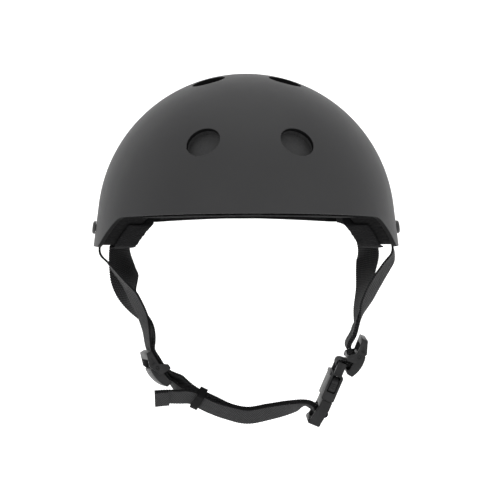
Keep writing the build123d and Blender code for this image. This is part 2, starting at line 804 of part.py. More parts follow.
def side_strap(name, shares, along, lift, flip):
    """One strap from its rivet to the inside of the divider on its side."""
    side = 1 if name == "right" else -1
    plane = divider_planes[name]
    places, normals = anchored_stretch(side, along)
    free = [free_place(row) for row in shares]
    turns = [row[3] for row in shares]
    middle = (pair_outer_lift + pair_inner_lift) / 2
    if name == "right":
        bulge = [
            spot(plane, reach * layer_end_reach, rise * cheek_crest) for reach, rise in right_bulge_shares
        ]
        bulge_normals = turned_normals(bulge, [0] * len(bulge), -side)
        bulge = [place + normal * (lift - middle) for place, normal in zip(bulge, bulge_normals)]
    else:
        bulge = [spot(plane, 0, lift), spot(plane, layer_end_reach / 2, lift)]
        bulge_normals = [plane.y_dir * flip, plane.y_dir * flip]
    normals += turned_normals([*free, bulge[0]], [*turns, 0], -side)[:-1] + bulge_normals
    places += free + bulge + [spot(plane, layer_end_reach, lift)]
    normals.append(plane.y_dir * flip)
    strip = webbing_strip(places, normals, last_run=plane.x_dir)
    with BuildPart() as strap:
        add(strip)
        with BuildSketch(anchor_plane(side, along)):
            Circle(rivet_hole_radius)
        extrude(amount=-channel_depth, mode=Mode.SUBTRACT)
    return strap.part


strap_layers = {
    "front_strap_left": ("left", front_strap_shares, -front_anchor_reach, pair_outer_lift, 1),
    "front_strap_right": ("right", front_strap_shares, -front_anchor_reach, pair_outer_lift, 1),
    "rear_strap_left": ("left", rear_strap_shares, rear_anchor_reach, pair_inner_lift, -1),
    "rear_strap_right": ("right", rear_strap_shares, rear_anchor_reach, pair_inner_lift, 1),
}
for label, (name, table, along, lift, flip) in strap_layers.items():
    strap = side_strap(name, table[name], along, lift, flip)
    strap.label = label
    export_step(strap, f"parts/{label}.step")

# The short doubled piece of webbing that carries the buckle's socket under the right divider
right_plane = divider_planes["right"]
wrap_radius = web_bar_half_thickness + webbing_clearance + webbing_thickness / 2
loop_gap = mouth_gap / 2
with BuildPart() as socket_loop:
    with BuildSketch(Plane.XZ.offset(-buckle_plane.origin.Y)):
        with BuildLine():
            corners = [
                spot(right_plane, layer_end_reach + loop_gap, pair_outer_lift),
                spot(right_plane, divider_body_length + 2 * webbing_thickness, pair_outer_lift),
                spot(buckle_plane, web_bar_half_thickness / 2, wrap_radius),
                spot(buckle_plane, web_bar_length + webbing_thickness, wrap_radius),
                spot(buckle_plane, web_bar_length + webbing_thickness, -wrap_radius),
                spot(buckle_plane, -web_bar_half_thickness, -wrap_radius),
                spot(right_plane, divider_body_length + webbing_thickness / 2, pair_inner_lift),
                spot(right_plane, layer_end_reach + loop_gap, pair_inner_lift),
            ]
            FilletPolyline(
                *[(corner.X, corner.Z) for corner in corners],
                radius=[webbing_thickness] * 2 + [wrap_radius * 0.9] * 2 + [webbing_thickness] * 2,
            )
        trace(line_width=webbing_thickness)
    extrude(amount=webbing_width / 2, both=True)
socket_loop.part.label = "socket_loop"
export_step(socket_loop.part, "parts/socket_loop.step")

# Keeper ring, round the three layers of webbing beside the left divider
keeper_run = Vector(cos(radians(keeper_lean)), 0, -sin(radians(keeper_lean)))
keeper_away = Vector(keeper_run.Z, 0, -keeper_run.X) * cos(radians(keeper_turn))
keeper_away = keeper_away - Vector(0, sin(radians(keeper_turn)), 0)
keeper_plane = Plane(
    origin=free_place(keeper_shares), x_dir=keeper_run, z_dir=keeper_run.cross(keeper_away)
)
keeper_hole = 2 * layer_pitch + webbing_thickness + 2 * webbing_clearance
keeper_section = Plane(origin=keeper_plane.origin, x_dir=keeper_plane.z_dir, z_dir=keeper_run)
with BuildPart() as strap_keeper:
    with BuildSketch(keeper_section):
        keeper_wide = webbing_width + 2 * webbing_clearance
        RectangleRounded(keeper_wide + 2 * keeper_wall, keeper_hole + 2 * keeper_wall, keeper_wall)
        RectangleRounded(keeper_wide, keeper_hole, webbing_clearance, mode=Mode.SUBTRACT)
    extrude(amount=keeper_length / 2, both=True)
strap_keeper.part.label = "strap_keeper"
export_step(strap_keeper.part, "parts/strap_keeper.step")

# The chin strap: from the left divider through the keeper and round the plug's middle bar, then back
# through the keeper to its free end
left_plane = divider_planes["left"]
keeper_ends = (-keeper_length, keeper_length * 3 / 4, keeper_length / 2 + keeper_travel)
slot_reach = base + center_bar_reach - webbing_clearance - webbing_thickness / 2
return_reach = base + center_bar_reach + center_bar_length + webbing_clearance + webbing_thickness / 2
wrap_foot = -collar_inner_drop + webbing_clearance
keeper_middle = (-layer_pitch, 0, layer_pitch)


def keeper_stops(level):
    """Places of one layer of webbing on its straight way through the keeper."""
    return [spot(keeper_plane, reach, keeper_middle[level]) for reach in keeper_ends]


def strip_between(
    starts, shares, stops, lift, first_run=None, last_run=None, first_face=None, last_face=None
):
    """Webbing from fixed places over free ones to fixed places."""
    free = [free_place(row) for row in shares]
    places = [place for place, turn in starts] + free + [place for place, turn in stops]
    turns = [turn for place, turn in starts] + [row[3] for row in shares] + [turn for place, turn in stops]
    normals = turned_normals(places, turns, 1)
    if first_face is not None:
        normals[0] = first_face
    if last_face is not None:
        normals[-1] = last_face
    lifts = [0] * len(starts) + [lift] * len(shares) + [0] * len(stops)
    places = [place + normal * rise for place, normal, rise in zip(places, normals, lifts)]
    return webbing_strip(places, normals, first_run, last_run)


inner_stops = [(place, keeper_turn) for place in keeper_stops(0)]
outer_stops = [(place, keeper_turn) for place in keeper_stops(2)]
half_pitch = layer_pitch / 2
with BuildPart() as chin_wrap:
    with BuildSketch(buckle_plane):
        with BuildLine():
            FilletPolyline(
                (slot_reach, wrap_foot),
                (slot_reach, wrap_rise),
                (return_reach, wrap_rise),
                (return_reach, wrap_foot),
                radius=(return_reach - slot_reach) * 0.48,
            )
        trace(line_width=webbing_thickness)
    extrude(amount=webbing_width / 2, both=True)
away = buckle_plane.y_dir
main_strip = strip_between(
    [(spot(left_plane, layer_end_reach + loop_gap, pair_inner_lift), left_divider_turn),
     (spot(left_plane, divider_body_length, pair_inner_lift - loop_gap), left_divider_turn)],
    upper_strand_shares, inner_stops, 0, first_run=left_plane.x_dir, first_face=left_plane.y_dir,
)
chin_main = strip_between(
    inner_stops[-1:], chin_shares, [(spot(buckle_plane, slot_reach, wrap_foot), 0)], -half_pitch,
    first_run=keeper_run, last_run=away, first_face=keeper_away, last_face=buckle_plane.x_dir,
)
chin_return = strip_between(
    outer_stops[-1:], chin_shares, [(spot(buckle_plane, return_reach, wrap_foot), 0)], half_pitch,
    first_run=keeper_run, last_run=away, first_face=keeper_away, last_face=buckle_plane.x_dir,
)
tail_places = [(place, keeper_turn) for place in reversed(keeper_stops(2))]
tail_points = [place for place, turn in tail_places] + [free_place(row) for row in free_end_shares]
tail_turns = [keeper_turn] * len(tail_places) + [row[3] for row in free_end_shares]
tail_strip = webbing_strip(tail_points, turned_normals(tail_points, tail_turns, -1), first_run=-keeper_run)
with BuildPart() as chin_strap:
    add(main_strip)
    add(chin_main)
    add(chin_wrap.part)
    add(chin_return)
    add(tail_strip)
chin_strap.part.label = "chin_strap"
export_step(chin_strap.part, "parts/chin_strap.step")

# The front strap's lower end, which leaves the left divider and stops inside the keeper
tail_stops = [
    (spot(keeper_plane, keeper_ends[0], 0), keeper_turn),
    (spot(keeper_plane, keeper_length / 2, 0), keeper_turn),
]
front_strap_end = strip_between(
    [(spot(left_plane, layer_end_reach + loop_gap, pair_outer_lift), left_divider_turn),
     (spot(left_plane, divider_body_length, pair_outer_lift), left_divider_turn),
     (spot(left_plane, lever_tip_reach, pair_inner_lift), left_divider_turn)],
    lower_strand_shares, tail_stops, 0, first_run=left_plane.x_dir, last_run=keeper_run,
    first_face=left_plane.y_dir, last_face=keeper_away,
)
front_strap_end.label = "front_strap_end_left"
export_step(front_strap_end, "parts/front_strap_end_left.step")
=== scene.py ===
# %% [markdown]
# # A skateboard helmet, dressed in Blender
# The helmet's solids come from a CAD model, already in place and in metres. This lesson adds what makes
# them look real: a smooth shell with softened edges, stuffed pads, woven straps and moulded buckles.
# Left and right are the viewer's, looking at the brow, which faces -Y.

# %% Load the frame
import json
import math

import bpy
from mathutils import Vector
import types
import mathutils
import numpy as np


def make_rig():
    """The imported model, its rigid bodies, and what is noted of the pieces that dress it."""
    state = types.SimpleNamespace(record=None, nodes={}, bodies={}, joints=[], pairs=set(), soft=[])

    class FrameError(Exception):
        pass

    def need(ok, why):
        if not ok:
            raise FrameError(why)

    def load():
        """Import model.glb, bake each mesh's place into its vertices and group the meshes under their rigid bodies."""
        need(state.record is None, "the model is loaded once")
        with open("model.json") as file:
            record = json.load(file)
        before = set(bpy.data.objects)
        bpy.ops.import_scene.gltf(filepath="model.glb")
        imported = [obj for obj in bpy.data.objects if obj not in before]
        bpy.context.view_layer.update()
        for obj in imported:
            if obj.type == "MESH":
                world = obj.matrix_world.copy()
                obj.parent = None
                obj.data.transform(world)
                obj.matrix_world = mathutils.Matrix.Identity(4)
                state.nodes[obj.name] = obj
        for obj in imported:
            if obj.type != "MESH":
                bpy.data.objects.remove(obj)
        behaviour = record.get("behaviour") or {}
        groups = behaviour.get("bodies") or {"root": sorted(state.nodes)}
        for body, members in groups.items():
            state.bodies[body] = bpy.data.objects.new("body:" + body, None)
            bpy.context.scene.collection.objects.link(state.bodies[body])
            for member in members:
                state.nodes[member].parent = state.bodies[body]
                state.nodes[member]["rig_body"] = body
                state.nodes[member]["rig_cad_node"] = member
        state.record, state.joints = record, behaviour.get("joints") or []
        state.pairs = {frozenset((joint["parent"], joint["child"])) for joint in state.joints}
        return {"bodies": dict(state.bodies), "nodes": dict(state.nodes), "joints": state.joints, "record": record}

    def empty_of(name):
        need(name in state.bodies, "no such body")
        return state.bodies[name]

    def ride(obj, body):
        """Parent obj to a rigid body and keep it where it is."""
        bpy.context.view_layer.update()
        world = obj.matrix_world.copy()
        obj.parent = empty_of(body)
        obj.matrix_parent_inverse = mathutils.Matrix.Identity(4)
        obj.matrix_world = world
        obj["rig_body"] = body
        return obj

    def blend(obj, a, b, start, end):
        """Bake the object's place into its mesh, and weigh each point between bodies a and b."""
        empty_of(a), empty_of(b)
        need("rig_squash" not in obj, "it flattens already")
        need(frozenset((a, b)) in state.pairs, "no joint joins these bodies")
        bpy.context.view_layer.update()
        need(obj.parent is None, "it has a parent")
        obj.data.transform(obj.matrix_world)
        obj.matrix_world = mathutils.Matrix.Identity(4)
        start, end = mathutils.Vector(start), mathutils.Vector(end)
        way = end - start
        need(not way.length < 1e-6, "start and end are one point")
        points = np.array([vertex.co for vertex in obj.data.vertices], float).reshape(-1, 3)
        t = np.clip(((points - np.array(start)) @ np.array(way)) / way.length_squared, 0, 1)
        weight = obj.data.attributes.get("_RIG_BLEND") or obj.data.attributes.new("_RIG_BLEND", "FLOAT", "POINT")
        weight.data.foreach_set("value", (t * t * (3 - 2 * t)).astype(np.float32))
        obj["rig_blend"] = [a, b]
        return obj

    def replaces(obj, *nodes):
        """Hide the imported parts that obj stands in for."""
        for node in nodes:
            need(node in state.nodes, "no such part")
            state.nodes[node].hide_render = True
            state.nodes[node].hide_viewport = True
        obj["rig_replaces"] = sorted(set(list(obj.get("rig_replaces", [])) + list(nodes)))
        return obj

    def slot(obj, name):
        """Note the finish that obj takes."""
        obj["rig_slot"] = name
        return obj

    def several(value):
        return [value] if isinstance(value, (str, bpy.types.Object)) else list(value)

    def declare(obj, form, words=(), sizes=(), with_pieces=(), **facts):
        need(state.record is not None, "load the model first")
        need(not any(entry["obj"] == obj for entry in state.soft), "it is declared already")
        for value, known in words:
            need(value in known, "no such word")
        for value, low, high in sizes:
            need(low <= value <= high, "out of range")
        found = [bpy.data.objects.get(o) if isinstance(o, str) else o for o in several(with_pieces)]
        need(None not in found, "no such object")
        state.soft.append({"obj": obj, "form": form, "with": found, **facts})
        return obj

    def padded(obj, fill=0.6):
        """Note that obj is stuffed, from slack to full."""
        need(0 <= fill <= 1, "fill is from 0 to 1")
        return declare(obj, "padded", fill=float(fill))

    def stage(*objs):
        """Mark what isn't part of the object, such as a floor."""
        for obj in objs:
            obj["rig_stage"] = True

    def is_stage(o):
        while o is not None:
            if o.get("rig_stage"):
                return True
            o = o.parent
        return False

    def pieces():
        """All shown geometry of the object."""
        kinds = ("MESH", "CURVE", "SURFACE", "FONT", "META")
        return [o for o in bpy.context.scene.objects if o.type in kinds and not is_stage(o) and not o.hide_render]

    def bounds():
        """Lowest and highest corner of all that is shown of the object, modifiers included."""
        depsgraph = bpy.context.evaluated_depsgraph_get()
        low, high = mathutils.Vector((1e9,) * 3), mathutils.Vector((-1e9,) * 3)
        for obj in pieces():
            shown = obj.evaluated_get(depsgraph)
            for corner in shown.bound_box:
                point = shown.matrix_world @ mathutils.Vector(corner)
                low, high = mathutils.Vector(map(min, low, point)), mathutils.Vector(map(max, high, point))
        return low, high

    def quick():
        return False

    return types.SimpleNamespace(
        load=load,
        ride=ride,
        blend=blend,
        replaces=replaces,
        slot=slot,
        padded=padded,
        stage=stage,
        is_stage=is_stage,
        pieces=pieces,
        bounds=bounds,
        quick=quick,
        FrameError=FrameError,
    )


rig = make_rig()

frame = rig.load()
cad_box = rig.bounds()
print("loaded", len(frame["nodes"]), "nodes on", len(frame["bodies"]), "bodies")

# %% [markdown]
# ## Camera
# The photograph was taken from in front, a little above the brow and a little to one side, with a long
# lens. A camera far away with a narrow view gives the same flat perspective.

# %% Camera
CAMERA_PLACE = Vector((-0.0416, -1.4936, 0.1283))
CAMERA_AIM = Vector((0.00276, 0.0, -0.0024))
VIEW_ANGLE = math.radians(13.13)

bpy.ops.object.camera_add(location=CAMERA_PLACE)
camera = bpy.context.object
camera.name = "camera"
camera.rotation_euler = (CAMERA_AIM - CAMERA_PLACE).to_track_quat("-Z", "Y").to_euler()
camera.data.sensor_fit = "HORIZONTAL"
camera.data.angle = VIEW_ANGLE
camera.data.clip_end = 20
bpy.context.scene.camera = camera
print("view transform was", bpy.context.scene.view_settings.view_transform)
bpy.context.scene.view_settings.view_transform = "Standard"
print("camera", round((CAMERA_AIM - CAMERA_PLACE).length, 3), "m away")

# %% [markdown]
# ## Small helpers
# Operators act on everything that is selected, so each piece starts with nothing selected.
# A finished piece keeps its place in its mesh, with its object at the origin.


# %% Helpers for selecting and finishing
def only(obj):
    """Select one object and nothing else, in object mode."""
    if bpy.context.object and bpy.context.object.mode != "OBJECT":
        bpy.ops.object.mode_set(mode="OBJECT")
    bpy.ops.object.select_all(action="DESELECT")
    obj.hide_set(False)
    obj.select_set(True)
    bpy.context.view_layer.objects.active = obj
    return obj


def apply_modifiers(obj):
    only(obj)
    for modifier in list(obj.modifiers):
        bpy.ops.object.modifier_apply(modifier=modifier.name)
    return obj


def settle(obj, name, body, slot, finish, *stands_for):
    """Name a piece, put its place into its mesh, and tell the frame what it is.

    A piece with no body is blended between two bodies by the caller.
    """
    only(obj)
    bpy.ops.object.transform_apply(location=True, rotation=True, scale=True)
    obj.name = obj.data.name = name
    obj.data.materials.clear()
    obj.data.materials.append(finish)
    if body:
        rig.ride(obj, body)
    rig.slot(obj, slot)
    if stands_for:
        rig.replaces(obj, *stands_for)
    print(name, "rides on", body, "with", len(obj.data.polygons), "faces")
    return obj


# %% A copy of a CAD solid
def merged_copy(node):
    """A copy of a CAD node's mesh with its loose triangles joined."""
    source = frame["nodes"][node]
    copy = bpy.data.objects.new(node + "_copy", source.data.copy())
    bpy.context.scene.collection.objects.link(copy)
    only(copy)
    bpy.ops.object.mode_set(mode="EDIT")
    bpy.ops.mesh.select_all(action="SELECT")
    bpy.ops.mesh.remove_doubles(threshold=0.000002)
    bpy.ops.mesh.dissolve_limited(angle_limit=math.radians(1))
    bpy.ops.object.mode_set(mode="OBJECT")
    return copy


# %% [markdown]
# ## Materials
# Every finish is a node tree: a base colour that varies a little, on the shell and the buckles a roughness that
# varies a little, and a bump at the scale of the real texture. The helper makes the parts that they all share.


# %% Helpers for node trees
class Finish:
    """A material with its shader, and short ways to add and join nodes."""

    def __init__(self, name, roughness, specular=0.5):
        self.material = bpy.data.materials.new(name)
        self.material.use_nodes = True
        self.nodes = self.material.node_tree.nodes
        self.links = self.material.node_tree.links
        self.shader = self.nodes["Principled BSDF"]
        self.shader.inputs["Roughness"].default_value = roughness
        self.shader.inputs["Specular IOR Level"].default_value = specular
        self.place = self.add("ShaderNodeTexCoord").outputs["Object"]

    def add(self, kind, **settings):
        node = self.nodes.new(kind)
        for key, value in settings.items():
            if key in node.inputs:
                node.inputs[key].default_value = value
            else:
                setattr(node, key.lower(), value)
        return node

    def join(self, start, node, socket):
        self.links.new(start, node.inputs[socket])
        return node

    def noise(self, scale, detail=2.0, rough=0.5, vector=None):
        node = self.add("ShaderNodeTexNoise", Scale=scale, Detail=detail, Roughness=rough)
        self.join(vector or self.place, node, "Vector")
        return node.outputs["Fac"]

    def ramp(self, value, stops):
        node = self.add("ShaderNodeValToRGB")
        elements = node.color_ramp.elements
        while len(elements) < len(stops):
            elements.new(0.5)
        for element, (position, colour) in zip(elements, stops):
            element.position = position
            element.color = (*colour, 1)
        self.join(value, node, "Fac")
        return node.outputs["Color"]

    def math(self, operation, first, second=None):
        node = self.add("ShaderNodeMath", operation=operation)
        for index, value in enumerate((first, second)):
            if value is None:
                continue
            if isinstance(value, (int, float)):
                node.inputs[index].default_value = value
            else:
                self.links.new(value, node.inputs[index])
        return node.outputs["Value"]

    def range(self, value, low, high):
        node = self.add("ShaderNodeMapRange")
        node.inputs["To Min"].default_value = low
        node.inputs["To Max"].default_value = high
        self.join(value, node, "Value")
        return node.outputs["Result"]

    def greys(self, value, *stops):
        """Colour by a value. Each stop is a position, a grey, and a blue that may differ a little from it."""
        shades = [(position, (grey, grey, blue)) for position, grey, blue in stops]
        self.links.new(self.ramp(value, shades), self.shader.inputs["Base Color"])

    def rough(self, socket):
        self.links.new(socket, self.shader.inputs["Roughness"])

    def bump(self, *layers):
        """Stack bumps: pairs of a height socket and a depth in metres."""
        last = None
        for height, depth in layers:
            node = self.add("ShaderNodeBump", Strength=1.0, Distance=depth)
            self.join(height, node, "Height")
            if last:
                self.join(last, node, "Normal")
            last = node.outputs["Normal"]
        self.links.new(last, self.shader.inputs["Normal"])


# %% Matt shell plastic
def shell_finish():
    finish = Finish("matt_shell_plastic", 0.50, 0.06)
    grain = finish.noise(1400, 3, 0.6)
    cloud = finish.noise(9, 3, 0.5)
    finish.greys(cloud, (0.3, 0.034, 0.0348), (0.7, 0.038, 0.0388))
    finish.rough(finish.range(finish.noise(60, 4, 0.6), 0.43, 0.52))
    finish.bump((grain, 0.00006))
    return finish.material


# %% Near-black plastic on the shell's cut edges and inside, as painted shade
def shell_shade_finish():
    finish = Finish("shell_inside_painted_shade", 0.70, 0.06)
    finish.greys(finish.noise(40, 3), (0.3, 0.0035, 0.0038), (0.7, 0.006, 0.0063))
    finish.bump((finish.noise(900, 3), 0.00005))
    return finish.material


# %% Soft plastic of the keeper
def keeper_finish():
    finish = Finish("soft_keeper_plastic", 0.85, 0.06)
    finish.greys(finish.noise(90, 3), (0.3, 0.004, 0.0043), (0.7, 0.0065, 0.0068))
    finish.bump((finish.noise(1200, 3), 0.00008))
    return finish.material


# %% Moulded buckle plastic
def buckle_finish():
    finish = Finish("moulded_buckle_plastic", 0.48, 0.17)
    cloud = finish.noise(120, 3, 0.5)
    finish.greys(cloud, (0.35, 0.013, 0.0135), (0.7, 0.02, 0.0206))
    finish.rough(finish.range(finish.noise(400, 4, 0.6), 0.42, 0.54))
    finish.bump((finish.noise(2600, 2, 0.5), 0.00003))
    return finish.material


# %% Foam with its beads, with painted shade low down and painted light from a height up
PAINTED_LIGHT_HEIGHT = 0.045
PAINTED_LIGHT_RATE = 50.0


def foam_finish():
    finish = Finish("moulded_bead_foam", 0.75, 0.04)
    beads = finish.add("ShaderNodeTexVoronoi", feature="F1", Scale=300.0)
    finish.join(finish.place, beads, "Vector")
    dome = finish.math("POWER", beads.outputs["Distance"], 2.0)
    split = finish.add("ShaderNodeSeparateXYZ")
    finish.join(finish.place, split, "Vector")
    # Painted shade and light: black under the rim, where shade falls, and grey higher up, on the floors of the vents,
    # by height alone
    height = finish.math("MULTIPLY", finish.math("SUBTRACT", split.outputs["Z"], PAINTED_LIGHT_HEIGHT), PAINTED_LIGHT_RATE)
    speckle = finish.math("MULTIPLY", finish.math("SUBTRACT", finish.noise(200, 2), 0.5), 0.3)
    finish.greys(finish.math("ADD", height, speckle), (0.1, 0.0035, 0.0037), (0.9, 0.048, 0.0488))
    finish.bump((finish.math("SUBTRACT", 1.0, dome), 0.0004))
    return finish.material


# %% Knitted pad cloth
def pad_finish():
    finish = Finish("knitted_pad_cloth", 0.92, 0.04)
    finish.shader.inputs["Sheen Weight"].default_value = 0.03
    finish.shader.inputs["Sheen Roughness"].default_value = 0.4
    rows = finish.add("ShaderNodeTexVoronoi", feature="F1", Scale=620.0)
    finish.join(finish.place, rows, "Vector")
    finish.greys(finish.noise(60, 3), (0.3, 0.0035, 0.0039), (0.7, 0.0065, 0.0069))
    finish.bump((rows.outputs["Distance"], 0.0003), (finish.noise(90, 3), 0.0008))
    return finish.material


# %% Woven webbing, on its own UV map in metres
RIB_PITCH = 0.00170
WARP_PITCH = 0.00135


def webbing_finish():
    finish = Finish("woven_webbing", 0.75, 0.15)
    finish.shader.inputs["Sheen Weight"].default_value = 0.04
    finish.shader.inputs["Sheen Roughness"].default_value = 0.35
    uv = finish.add("ShaderNodeUVMap")
    split = finish.add("ShaderNodeSeparateXYZ")
    finish.join(uv.outputs["UV"], split, "Vector")
    along, across = split.outputs["X"], split.outputs["Y"]
    column = finish.math("FLOOR", finish.math("DIVIDE", across, WARP_PITCH))
    shift = finish.math("MULTIPLY", finish.math("MODULO", finish.math("ABSOLUTE", column), 2.0), 0.5)
    turns = finish.math("ADD", finish.math("DIVIDE", along, RIB_PITCH), shift)
    float_wave = finish.math("SINE", finish.math("MULTIPLY", turns, 2 * math.pi))
    float_height = finish.math("ADD", finish.math("MULTIPLY", float_wave, 0.5), 0.5)
    yarn = finish.math("ABSOLUTE", finish.math("SINE", finish.math("MULTIPLY", across, math.pi / WARP_PITCH)))
    weave = finish.math("MULTIPLY", float_height, finish.math("POWER", yarn, 0.5))
    fuzz = finish.noise(2500, 3, 0.6)
    mixed = finish.math("ADD", finish.math("MULTIPLY", weave, 0.75), finish.math("MULTIPLY", fuzz, 0.25))
    finish.greys(mixed, (0.1, 0.003, 0.0033), (0.5, 0.013, 0.0138), (0.95, 0.038, 0.04))
    finish.bump((weave, 0.00035), (fuzz, 0.00008))
    return finish.material


# %% Satin black rivets, steel washers and hook tape
def rivet_finish():
    finish = Finish("satin_black_rivet", 0.35, 0.5)
    finish.greys(finish.noise(300, 3), (0.3, 0.007, 0.007), (0.7, 0.013, 0.0135))
    finish.bump((finish.noise(1500, 3), 0.00003))
    return finish.material


def washer_finish():
    finish = Finish("plated_washer", 0.35, 0.5)
    finish.shader.inputs["Metallic"].default_value = 1.0
    finish.greys(finish.noise(500, 3), (0.3, 0.42, 0.43), (0.7, 0.58, 0.59))
    finish.bump((finish.noise(2000, 3), 0.00003))
    return finish.material


def hook_finish():
    finish = Finish("hook_tape", 0.8, 0.3)
    hooks = finish.add("ShaderNodeTexVoronoi", feature="F1", Scale=900.0)
    finish.join(finish.place, hooks, "Vector")
    finish.greys(hooks.outputs["Distance"], (0.1, 0.03, 0.03), (0.6, 0.008, 0.008))
    finish.bump((finish.math("SUBTRACT", 1.0, hooks.outputs["Distance"]), 0.0005))
    return finish.material


shell_plastic, shell_shade_plastic = shell_finish(), shell_shade_finish()
buckle_plastic, keeper_plastic = buckle_finish(), keeper_finish()
foam, pad_cloth, webbing = foam_finish(), pad_finish(), webbing_finish()
rivet_metal, washer_metal, hook_tape = rivet_finish(), washer_finish(), hook_finish()
print("made", len(bpy.data.materials), "materials")

# %% [markdown]
# ## Straps
# Webbing is a flat woven band, 20 mm wide and 1.4 mm thick, that only bends and twists. It could be a curve
# with a flat profile, but then its twist is hard to steer. Here it starts as a grid, whose rows are laid one
# by one along a smooth route, with a face direction at every place. Solidify gives it its thickness, and the
# grid's own UV map, scaled to metres, carries the weave round every bend. The dividers slide on the straps,
# so each strap follows the helmet at its top and its divider at its foot, and bends in between.

# %% Sizes and routes of the webbing
STRAP_WIDTH = 0.020
STRAP_THICKNESS = 0.0014
ROW_STEP = 0.0008
ACROSS = 12
EDGE_PICOT = 0.00022

ROUTES = {
    "front_strap_left": [
        (-0.09735, -0.008, 0.023, -0.99, -0.05, 0.131), (-0.09854, -0.008, 0.014, -0.99, -0.049, 0.131),
        (-0.09977, -0.008, 0.00467, -0.99, -0.048, 0.131),
        (-0.10047, -0.00894, -0.00401, -0.715, -0.105, -0.691),
        (-0.09466, -0.00881, -0.01003, -0.766, -0.087, -0.637),
        (-0.08762, -0.00583, -0.01947, -0.783, -0.208, -0.587),
        (-0.08068, 0.00052, -0.02867, -0.799, -0.358, -0.483),
        (-0.07619, 0.00518, -0.03835, -0.827, -0.423, -0.37),
        (-0.0716, 0.00803, -0.04897, -0.881, -0.375, -0.289),
        (-0.06895, 0.00855, -0.06042, -0.953, -0.242, -0.181),
        (-0.06718, 0.00791, -0.07223, -0.845, -0.208, -0.494),
        (-0.06377, 0.00791, -0.07805, -0.845, -0.208, -0.494),
        (-0.06037, 0.00791, -0.08388, -0.845, -0.208, -0.494)],
    "front_strap_right": [
        (0.09735, -0.008, 0.023, 0.99, -0.05, 0.131), (0.09854, -0.008, 0.014, 0.99, -0.049, 0.131),
        (0.09977, -0.008, 0.00467, 0.99, -0.048, 0.131),
        (0.10098, -0.00894, -0.00401, 0.895, -0.174, -0.41),
        (0.09823, -0.00881, -0.01003, 0.807, -0.407, -0.428),
        (0.09353, -0.00596, -0.01805, 0.774, -0.469, -0.425),
        (0.08864, -0.00194, -0.02749, 0.786, -0.5, -0.363),
        (0.08384, 0.00233, -0.03906, 0.842, -0.438, -0.316),
        (0.08058, 0.00466, -0.04897, 0.928, -0.139, -0.347),
        (0.07742, 0.006, -0.05623, 0.962, 0.0, -0.273), (0.07568, 0.006, -0.06235, 0.913, 0.0, -0.408),
        (0.07224, 0.006, -0.06784, 0.903, 0.0, -0.431), (0.0716, 0.006, -0.0705, 0.98, 0.0, 0.2),
        (0.07331, 0.006, -0.07262, 0.796, 0.0, 0.605), (0.07456, 0.006, -0.07576, 0.933, 0.0, -0.36)],
    "rear_strap_left": [
        (-0.08286, 0.066, 0.023, -0.891, 0.432, 0.138), (-0.08425, 0.066, 0.014, -0.894, 0.426, 0.138),
        (-0.08569, 0.066, 0.00467, -0.897, 0.42, 0.138),
        (-0.08792, 0.0619, -0.00295, -0.743, 0.669, -0.0),
        (-0.08792, 0.05504, -0.01097, -0.527, 0.848, -0.051),
        (-0.08629, 0.04597, -0.01994, -0.334, 0.94, -0.072),
        (-0.08384, 0.036, -0.02997, 0.245, 0.966, 0.082),
        (-0.07956, 0.02655, -0.04, 0.601, 0.707, 0.373),
        (-0.0714, 0.01709, -0.05003, 0.757, 0.342, 0.557),
        (-0.06446, 0.00997, -0.06053, 0.949, 0.191, 0.251),
        (-0.06574, 0.00826, -0.07139, 0.845, 0.208, 0.494),
        (-0.06234, 0.00826, -0.07721, 0.845, 0.208, 0.494),
        (-0.05893, 0.00826, -0.08304, 0.845, 0.208, 0.494)],
    "rear_strap_right": [
        (0.08286, 0.066, 0.023, 0.891, 0.432, 0.138), (0.08425, 0.066, 0.014, 0.894, 0.426, 0.138),
        (0.08569, 0.066, 0.00467, 0.897, 0.42, 0.138), (0.08792, 0.0619, -0.00295, 0.805, 0.588, 0.082),
        (0.08874, 0.05504, -0.01097, 0.573, 0.819, -0.019),
        (0.08731, 0.04597, -0.021, 0.695, 0.707, -0.131),
        (0.08497, 0.03432, -0.03103, 0.827, 0.5, -0.257),
        (0.0814, 0.02266, -0.04, 0.908, 0.276, -0.317),
        (0.07834, 0.00738, -0.05003, 0.933, -0.139, -0.332),
        (0.07579, 0.006, -0.05577, 0.962, 0.0, -0.273), (0.07413, 0.006, -0.06165, 0.913, 0.0, -0.408),
        (0.0707, 0.006, -0.06711, 0.903, 0.0, -0.431), (0.06993, 0.006, -0.07085, 0.98, 0.0, 0.2),
        (0.07195, 0.006, -0.07365, 0.796, 0.0, 0.605), (0.07297, 0.006, -0.07515, 0.933, 0.0, -0.36)],
    "front_strap_end_left": [
        (-0.06027, 0.00791, -0.08405, -0.845, -0.208, -0.494),
        (-0.0581, 0.00791, -0.08777, -0.78, -0.208, -0.59),
        (-0.05182, 0.00826, -0.09522, -0.751, -0.208, -0.626),
        (-0.04814, 0.00622, -0.09971, -0.648, -0.375, -0.663),
        (-0.04396, 0.00427, -0.1029, -0.294, -0.545, -0.786),
        (-0.03766, 0.00199, -0.10363, -0.252, -0.545, -0.8),
        (-0.03038, 0.00199, -0.10718, -0.368, -0.545, -0.754)],
}
print("routes for", len(ROUTES), "straps")


